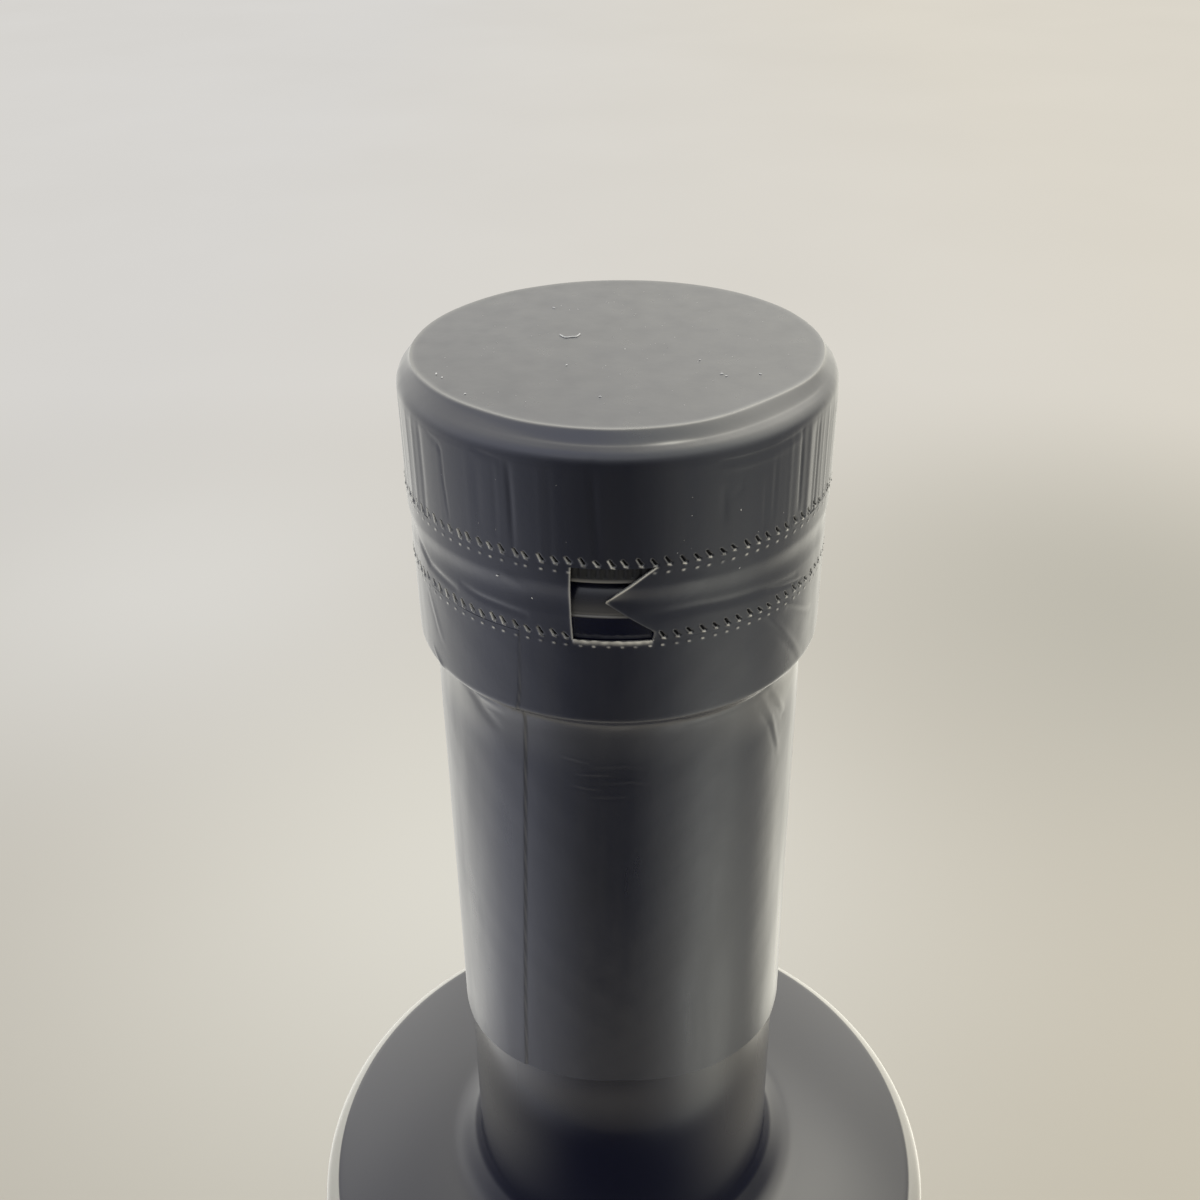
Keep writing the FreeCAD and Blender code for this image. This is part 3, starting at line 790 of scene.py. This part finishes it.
def make_sleeve():
    """Film over the ring and down the neck, with its seam, folds and wavy lower edge."""
    profile = sleeve_profile()
    azimuth = np.arange(COLUMNS) * 360.0 / COLUMNS
    turn = (azimuth + 180) % 360 - 180
    foot = FOOT_WAVE * (np.abs(turn) / 55.0) ** 1.4
    foot = np.minimum(foot, 2.6) + 0.25 * wander(azimuth, 0.0, 23, 5, 7, 0)
    radius = profile[:, :1] + 0 * azimuth[None, :]
    depth = profile[:, 1:] + foot[None, :] * ramp(profile[:, 1:], 50, FILM_FOOT_DEPTH)
    grid = azimuth[None, :] + 0 * radius
    inner_radius, inner_depth = offset_profile(radius, depth, FILM_WALL)
    inner_depth = np.clip(inner_depth, TEAR_LOWER, depth[-1:])
    lift, hole_shade, pale_and_painted_light = perforation(grid, depth, TEAR_LOWER, LOWER_SEED)
    pricked = depth < 17.4
    lift, hole_shade, pale_and_painted_light = lift * pricked, hole_shade * pricked, pale_and_painted_light * pricked
    lift = lift + folds(grid, depth, RING_RADIUS, SLEEVE_CREASES)
    # The seam: the upper layer ends in a step and thins out away from it, and a painted highlight
    # runs along the step's edge.
    beside = np.radians(seam_azimuth(depth) - ((grid + 180) % 360 - 180)) * NECK_TOP_RADIUS
    fade = ramp(depth, 17.5, 27.0) * 0.7 + 0.3
    lift = lift + 0.10 * fade * ramp(beside, -0.06, 0.10) * (1 - ramp(beside, 2.0, 9.0))
    pale_and_painted_light = pale_and_painted_light + 0.13 * fade * bell(beside, 0.07)
    # The ragged edge that the tear left under the window; its white is partly the whitened torn
    # film and partly a painted highlight where the cut faces up to the light.
    torn = ramp(turn, WINDOW_LEFT - 0.3, WINDOW_LEFT + 0.3)
    torn = torn * (1 - ramp(turn, TONGUE_CORNER - 0.8, TONGUE_CORNER - 0.2))
    ragged = 0.10 + 0.07 * wander(azimuth, 0.0, 77, 9, 170, 0)
    rim = torn[None, :] * bell(depth - TEAR_LOWER, 0.21)
    lift = lift + 0.07 * rim
    whitened_edge_and_glint = 0.75 + 0.5 * wander(azimuth, 0.0, 79, 9, 170, 0)
    pale_and_painted_light = np.clip(pale_and_painted_light + rim * whitened_edge_and_glint, 0, 1)
    hole_shade = hole_shade * (1 - torn[None, :])
    depth = depth - rim * ragged[None, :]
    # Unevenness of the neck, and the zone under the ring, painted paler as a reflection, faintly
    # in front and most at the sides.
    neck = ramp(depth, 26, 32)
    lift = lift + neck * 0.05 * wander(grid, depth, 19, 12, 6, 0.02)
    lift = lift + 0.014 * wander(grid, depth, 29, 14, 24, 0.10)
    side = np.abs((grid + 180) % 360 - 180)
    side = ramp(side, 15, 80) * (1 - ramp(side, 80, 110))
    pale_and_painted_light = pale_and_painted_light + (0.04 + 0.22 * side) * ramp(depth, 24.9, 25.9) * (1 - ramp(depth, 26.2, 31))
    root = ramp(depth, 24.2, 25.5) * (1 - ramp(depth, 26, 31))
    lift = lift + 0.10 * root * wander(grid, depth, 37, 10, 13, 0.05)
    outer = polar(grid, radius + lift, depth)
    inner = polar(grid, inner_radius + 0.4 * np.minimum(lift, 0),
                  np.minimum(inner_depth, depth[-1:]))
    fine = near_tear(depth, TEAR_LOWER)
    points, faces = shell(outer, inner, fine)
    piece = film_piece("neck_sleeve_film", points, faces, fine, hole_shade, pale_and_painted_light)
    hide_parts("capsule_sleeve")


# ---------------------------------------------------------------- dust

# Dust that shows: (azimuth, radius, length) on the flat top, in degrees and millimetres.
TOP_FLECKS = [(-149.6, 10.4, 0.30), (-46.5, 5.3, 0.28), (-7.3, 9.8, 0.24), (54.2, 9.7, 0.30),
              (53.3, 10.2, 0.22), (61.7, 12.2, 0.24), (-69.4, 14.6, 0.34), (-66.1, 14.4, 0.26),
              (-51.2, 14.3, 0.24), (54.3, 0.8, 0.16), (65.7, 7.0, 0.22)]
# Dust on the skirt and the band: (azimuth, depth, length).
SIDE_FLECKS = [(30.3, 6.5, 0.16), (-31.0, 11.9, 0.24), (-21.5, 13.1, 0.16), (30.7, 11.4, 0.14)]
# The fibre's (azimuth, radius) on the flat top, and the thickness it has to either side.
FIBRE = [(-120.6, 5.29), (-116.1, 4.60), (-121.4, 4.28), (-124.9, 3.87), (-134.2, 4.11)]
FIBRE_RADIUS = 0.055
TOP_GRAINS, SIDE_GRAINS = 90, 60


def dust_material():
    """Pale dust and lint."""
    material, tree, shader = nodes_of("pale_dust")
    tone = blend(tree, noise(tree, 900, 2), (0.86, 0.85, 0.82, 1), (0.95, 0.95, 0.93, 1))
    tree.links.new(tone, shader.inputs["Base Color"])
    shader.inputs["Roughness"].default_value = 0.9
    return material


def fleck(centre, along, across, normal, length, random):
    """Points and faces of one uneven grain lying on a surface."""
    steps, rings = 8, 5
    turn = np.arange(steps) * 2 * math.pi / steps
    tilt = np.linspace(0.12, math.pi - 0.12, rings)[:, None]
    bumps = random.uniform(0.75, 1.2, (rings, steps))
    x = 0.5 * length * np.cos(tilt) + 0 * turn
    y = 0.22 * length * np.sin(tilt) * np.cos(turn) * bumps
    z = 0.16 * length * np.sin(tilt) * np.sin(turn) * bumps
    body = (x[..., None] * along + y[..., None] * across + z[..., None] * normal).reshape(-1, 3)
    return centre + body + normal * 0.1 * length, round_faces(rings, steps)


def round_faces(rows, columns):
    """Faces of a closed tube, each end shut by one face."""
    faces = strip_faces(rows, columns, True).tolist()
    return faces + [list(range(columns - 1, -1, -1)),
                    list(range((rows - 1) * columns, rows * columns))]


def fibre(up):
    """Points and faces of the curled fibre."""
    line = np.array([polar(np.array(a), r, -FIBRE_RADIUS / 2) for a, r in FIBRE])
    line = rounded(line, 2)
    steps = 6
    turn = np.arange(steps) * 2 * math.pi / steps
    heading = np.gradient(line, axis=0)
    heading /= np.linalg.norm(heading, axis=1)[:, None]
    beside = np.cross(heading, up)
    tube = line[:, None] + FIBRE_RADIUS * (np.cos(turn)[None, :, None] * beside[:, None]
                                           + np.sin(turn)[None, :, None] * up)
    return tube.reshape(-1, 3), round_faces(len(line), steps)


def make_dust():
    """Grains of dust and one curled fibre on the capsule."""
    random = np.random.default_rng(61)
    grains = [(a, r, 0.0, length) for a, r, length in TOP_FLECKS]
    grains += [(a, CAP_RADIUS, d, length) for a, d, length in SIDE_FLECKS]
    grains += [(random.uniform(-180, 180), 14 * math.sqrt(random.uniform()), 0.0,
                random.uniform(0.05, 0.10)) for _ in range(TOP_GRAINS)]
    grains += [(random.uniform(-180, 180), CAP_RADIUS, random.uniform(3, 9),
                random.uniform(0.05, 0.09)) for _ in range(SIDE_GRAINS)]
    up = np.array([0.0, 0.0, 1.0])
    bodies = []
    for azimuth, radius, depth, length in grains:
        centre = polar(np.array(azimuth), radius, depth)
        outwards = polar(np.array(azimuth), 1.0, TOP)
        normal = up if depth == 0.0 else outwards
        level = np.cross(up, outwards)
        spin = random.uniform(0, math.pi)
        along = level * math.cos(spin) + np.cross(normal, level) * math.sin(spin)
        bodies.append(fleck(centre, along, np.cross(normal, along), normal, length, random))
    bodies.append(fibre(up))
    points, faces = np.zeros((0, 3)), []
    for body, body_faces in bodies:
        faces += [[index + len(points) for index in face] for face in body_faces]
        points = np.concatenate([points, body])
    new_piece("dust_and_lint", points, faces, dust_material())


make_dust()
make_bottle()
make_stopper()
make_cap()
make_band()
make_sleeve()


# ---------------------------------------------------------------- stage

# Patches of painted light and painted shade on the floor: place, reach, strength and colour.
PAINTED_FLOOR_LIGHT_AND_SHADE = [((-0.04, 0.27, 0.0), 0.24, 0.85, (0.76, 0.74, 0.67, 1)),
                 ((0.26, 0.46, 0.0), 0.28, 0.75, (0.47, 0.45, 0.385, 1)),
                 ((-0.22, 0.48, 0.0), 0.22, 0.5, (0.76, 0.75, 0.72, 1))]


def floor_material():
    """Pale seamless paper, painted darker near the bottle and warmer on the right, with patches of
    painted light and shade; far from the bottle it glows as the lit backdrop of a studio does.
    """
    material, tree, shader = nodes_of("pale_paper")
    place = node(tree, "ShaderNodeTexCoord").outputs["Object"]
    parts = node(tree, "ShaderNodeSeparateXYZ", links={"Vector": place})
    # Painted shade and light: darker near the bottle, paler away from it, and warmer towards the
    # right.
    far = stretch(tree, parts.outputs["Y"], 0.10, 0.75, 0.0, 1.0)
    warm = stretch(tree, parts.outputs["X"], -0.35, 0.45, 0.0, 1.0)
    near = blend(tree, warm, (0.51, 0.485, 0.425, 1), (0.63, 0.58, 0.465, 1))
    away = blend(tree, warm, (0.685, 0.67, 0.645, 1), (0.72, 0.68, 0.60, 1))
    fibre = noise(tree, 3, 3)
    plain = blend(tree, far, near, away)
    # The paler patches are painted pools of light, the darker one painted shade.
    for spot, reach, strength, colour in PAINTED_FLOOR_LIGHT_AND_SHADE:
        apart = node(tree, "ShaderNodeVectorMath", {"operation": "DISTANCE", 1: spot}, {0: place})
        share = stretch(tree, apart.outputs["Value"], 0.0, reach, strength, 0.0)
        share.node.interpolation_type = "SMOOTHSTEP"
        plain = blend(tree, share, plain, colour)
    tone = blend(tree, stretch(tree, fibre, 0.35, 0.65, 0.0, 0.5), plain,
                 blend(tree, 0.12, plain, (0.45, 0.42, 0.36, 1)))
    tree.links.new(tone, shader.inputs["Base Color"])
    shader.inputs["Roughness"].default_value = 0.9
    shader.inputs["Specular IOR Level"].default_value = 0.1
    glow = node(tree, "ShaderNodeEmission", links={"Color": tone})
    reach = node(tree, "ShaderNodeVectorMath", {"operation": "LENGTH"}, {0: place})
    share = stretch(tree, reach.outputs["Value"], 0.12, 0.45, 0.0, 1.0)
    mixed = node(tree, "ShaderNodeMixShader", links={0: share, 1: shader.outputs["BSDF"],
                                                     2: glow.outputs["Emission"]})
    tree.links.new(mixed.outputs["Shader"], tree.nodes["Material Output"].inputs["Surface"])
    return material


def make_floor():
    """Large floor that fills the picture."""
    reach = 8.0
    mesh = bpy.data.meshes.new("floor")
    corners = [(-reach, -reach, 0), (reach, -reach, 0), (reach, reach, 0), (-reach, reach, 0)]
    mesh.from_pydata(corners, [], [[0, 1, 2, 3]])
    mesh.materials.append(floor_material())
    floor = bpy.data.objects.new("floor", mesh)
    bpy.context.scene.collection.objects.link(floor)


# What the film and the glass reflect round the bottle. Each row is an azimuth, then brightness
# on the wall's top and foot, then on the sky low down, half way up and overhead.
SURROUND = [(-180, 1.0, 0.8, 1.35, 1.10, 0.50), (-150, 1.55, 1.4, 1.30, 0.85, 0.50),
            (-134, 1.45, 1.55, 1.20, 0.80, 0.50), (-122, 0.89, 1.4, 1.05, 0.75, 0.50),
            (-104, 0.55, 1.15, 0.80, 0.65, 0.50), (-84, 0.34, 0.72, 0.50, 0.55, 0.50),
            (-62, 0.22, 0.46, 0.32, 0.50, 0.50), (-42, 0.13, 0.22, 0.22, 0.48, 0.50),
            (-22, 0.030, 0.045, 0.18, 0.46, 0.50), (0, 0.008, 0.012, 0.16, 0.46, 0.55),
            (14, 0.035, 0.075, 0.18, 0.46, 0.60), (32, 0.14, 0.30, 0.26, 0.55, 0.70),
            (52, 0.22, 0.84, 0.42, 0.70, 0.80), (70, 0.26, 0.98, 0.62, 0.90, 0.85),
            (86, 0.22, 0.50, 0.80, 1.15, 0.85), (98, 0.27, 0.34, 1.00, 1.20, 0.85),
            (110, 0.57, 0.86, 1.15, 1.40, 0.80), (124, 1.10, 2.05, 1.25, 1.75, 0.75),
            (144, 1.75, 1.85, 1.35, 2.25, 0.70), (162, 1.45, 1.5, 1.40, 2.00, 0.60),
            (180, 1.0, 0.8, 1.35, 1.10, 0.50)]
SURROUND_RADIUS = 210
WALL_HEIGHT = 300
SKY_HEIGHT = 800
# Heights in metres over which the wall's foot turns into its top, and on up to the overhead sky.
LEVEL_CHANGES = [(0.06, 0.20), (0.31, 0.40), (0.405, 0.47), (0.64, 0.74)]


def colour_ramp(tree, share, stops):
    """Colour ramp with the given (place, colour) stops."""
    made = node(tree, "ShaderNodeValToRGB", links={"Fac": share})
    elements = made.color_ramp.elements
    while len(elements) < len(stops):
        elements.new(0.5)
    for element, (place, colour) in zip(elements, stops):
        element.position = place
        element.color = colour
    return made.outputs["Color"]


def surround_material():
    """Glow of the room by azimuth and height, cool on the left and warm on the right."""
    material = bpy.data.materials.new("surround")
    material.use_nodes = True
    tree = material.node_tree
    tree.nodes.clear()
    place = node(tree, "ShaderNodeTexCoord").outputs["Object"]
    parts = node(tree, "ShaderNodeSeparateXYZ", links={"Vector": place})
    front = node(tree, "ShaderNodeMath", {"operation": "MULTIPLY", 1: -1.0},
                 {0: parts.outputs["Y"]})
    angle = node(tree, "ShaderNodeMath", {"operation": "ARCTAN2"},
                 {0: parts.outputs["X"], 1: front.outputs["Value"]})
    share = stretch(tree, angle.outputs["Value"], -math.pi, math.pi, 0.0, 1.0)
    levels = []
    for level in (2, 1, 3, 4, 5):
        stops = []
        for row in SURROUND:
            warm = 0.5 + 0.5 * math.sin(math.radians(row[0]))
            cool = 1 - ramp(abs(row[0]), 50, 125)
            tint = (1.0 + 0.035 * warm - 0.045 * cool, 0.99 + 0.01 * warm,
                    0.945 - 0.085 * warm + 0.21 * cool * (1 - 0.85 * warm))
            stops.append(((row[0] + 180) / 360, tuple(row[level] * part for part in tint) + (1,)))
        levels.append(colour_ramp(tree, share, stops))
    glow = levels[0]
    for (start, end), level in zip(LEVEL_CHANGES, levels[1:]):
        share = stretch(tree, parts.outputs["Z"], start, end, 0.0, 1.0)
        glow = blend(tree, share, glow, level)
    lit = node(tree, "ShaderNodeEmission", links={"Color": glow})
    node(tree, "ShaderNodeOutputMaterial", links={"Surface": lit.outputs["Emission"]})
    return material


def make_surround():
    """Wall and sky round the bottle that only reflections see: dark on the camera's side."""
    steps, rises = 96, 24
    rings = [(SURROUND_RADIUS, 1.0), (SURROUND_RADIUS, WALL_HEIGHT)]
    for index in range(1, rises):
        turn = math.pi / 2 * index / rises
        rings.append((SURROUND_RADIUS * math.cos(turn),
                      WALL_HEIGHT + (SKY_HEIGHT - WALL_HEIGHT) * math.sin(turn)))
    azimuth = 360 * (np.arange(steps) + 0.5) / steps
    ring = np.array(rings)
    points = polar(azimuth[None, :], ring[:, :1], TOP - ring[:, 1:]).reshape(-1, 3)
    points = np.concatenate([points, [[0, 0, SKY_HEIGHT]]])
    faces = strip_faces(len(rings), steps, True).tolist()
    last = (len(rings) - 1) * steps
    faces += [[last + step, last + (step + 1) % steps, len(points) - 1] for step in range(steps)]
    mesh = bpy.data.meshes.new("surround")
    mesh.from_pydata((points * MM).tolist(), [], faces)
    mesh.materials.append(surround_material())
    screen = bpy.data.objects.new("surround", mesh)
    bpy.context.scene.collection.objects.link(screen)
    for visible in ("camera", "diffuse", "shadow", "transmission", "volume_scatter"):
        setattr(screen, f"visible_{visible}", False)


def add_lamp(name, place, target, size, watts, colour):
    """Soft rectangular lamp aimed at a point."""
    lamp = bpy.data.lights.new(name, "AREA")
    lamp.shape = "RECTANGLE"
    lamp.size, lamp.size_y = size
    lamp.energy = watts
    lamp.color = colour
    made = bpy.data.objects.new(name, lamp)
    made.location = place
    made.rotation_euler = (Vector(target) - Vector(place)).to_track_quat("-Z", "Y").to_euler()
    made.visible_glossy = False
    bpy.context.scene.collection.objects.link(made)


def make_lights():
    """Big soft light behind and above, softer ones at both sides, and a dim even world."""
    aim = (0, 0, TOP * MM)
    add_lamp("back_top", (0.0, 0.95, 1.35), aim, (1.7, 1.1), 12.0, (1.0, 0.99, 0.97))
    add_lamp("left", (-1.3, 0.1, 0.75), aim, (1.0, 1.0), 5.0, (0.95, 0.98, 1.0))
    add_lamp("right", (1.3, 0.1, 0.75), aim, (1.0, 1.0), 7.0, (1.0, 0.95, 0.86))
    world = bpy.data.worlds.new("studio")
    world.use_nodes = True
    background = world.node_tree.nodes["Background"]
    background.inputs["Color"].default_value = (0.97, 0.98, 1.0, 1)
    background.inputs["Strength"].default_value = 0.42
    bpy.context.scene.world = world


def make_camera():
    """Camera close above the capsule, looking down at it; its place is in millimetres."""
    back, rise, aside = 100.63, 39.58, -0.128
    pitch, yaw, roll = math.radians(32.079), math.radians(-0.858), math.radians(-0.919)
    forward = Vector((math.sin(yaw) * math.cos(pitch), math.cos(yaw) * math.cos(pitch),
                      -math.sin(pitch)))
    level = Vector((math.cos(yaw), -math.sin(yaw), 0))
    upright = level.cross(forward)
    right = level * math.cos(roll) + upright * math.sin(roll)
    above = upright * math.cos(roll) - level * math.sin(roll)
    data = bpy.data.cameras.new("camera")
    data.lens, data.sensor_width = 40.5, 36.0
    data.clip_start = 0.005
    camera = bpy.data.objects.new("camera", data)
    turned_to = Matrix((right, above, -forward)).transposed().to_4x4()
    camera.matrix_world = Matrix.Translation(Vector((aside, -back, TOP + rise)) * MM) @ turned_to
    bpy.context.scene.collection.objects.link(camera)
    bpy.context.scene.camera = camera


make_floor()
make_surround()
make_lights()
make_camera()

scene = bpy.context.scene
scene.view_settings.view_transform = "Standard"
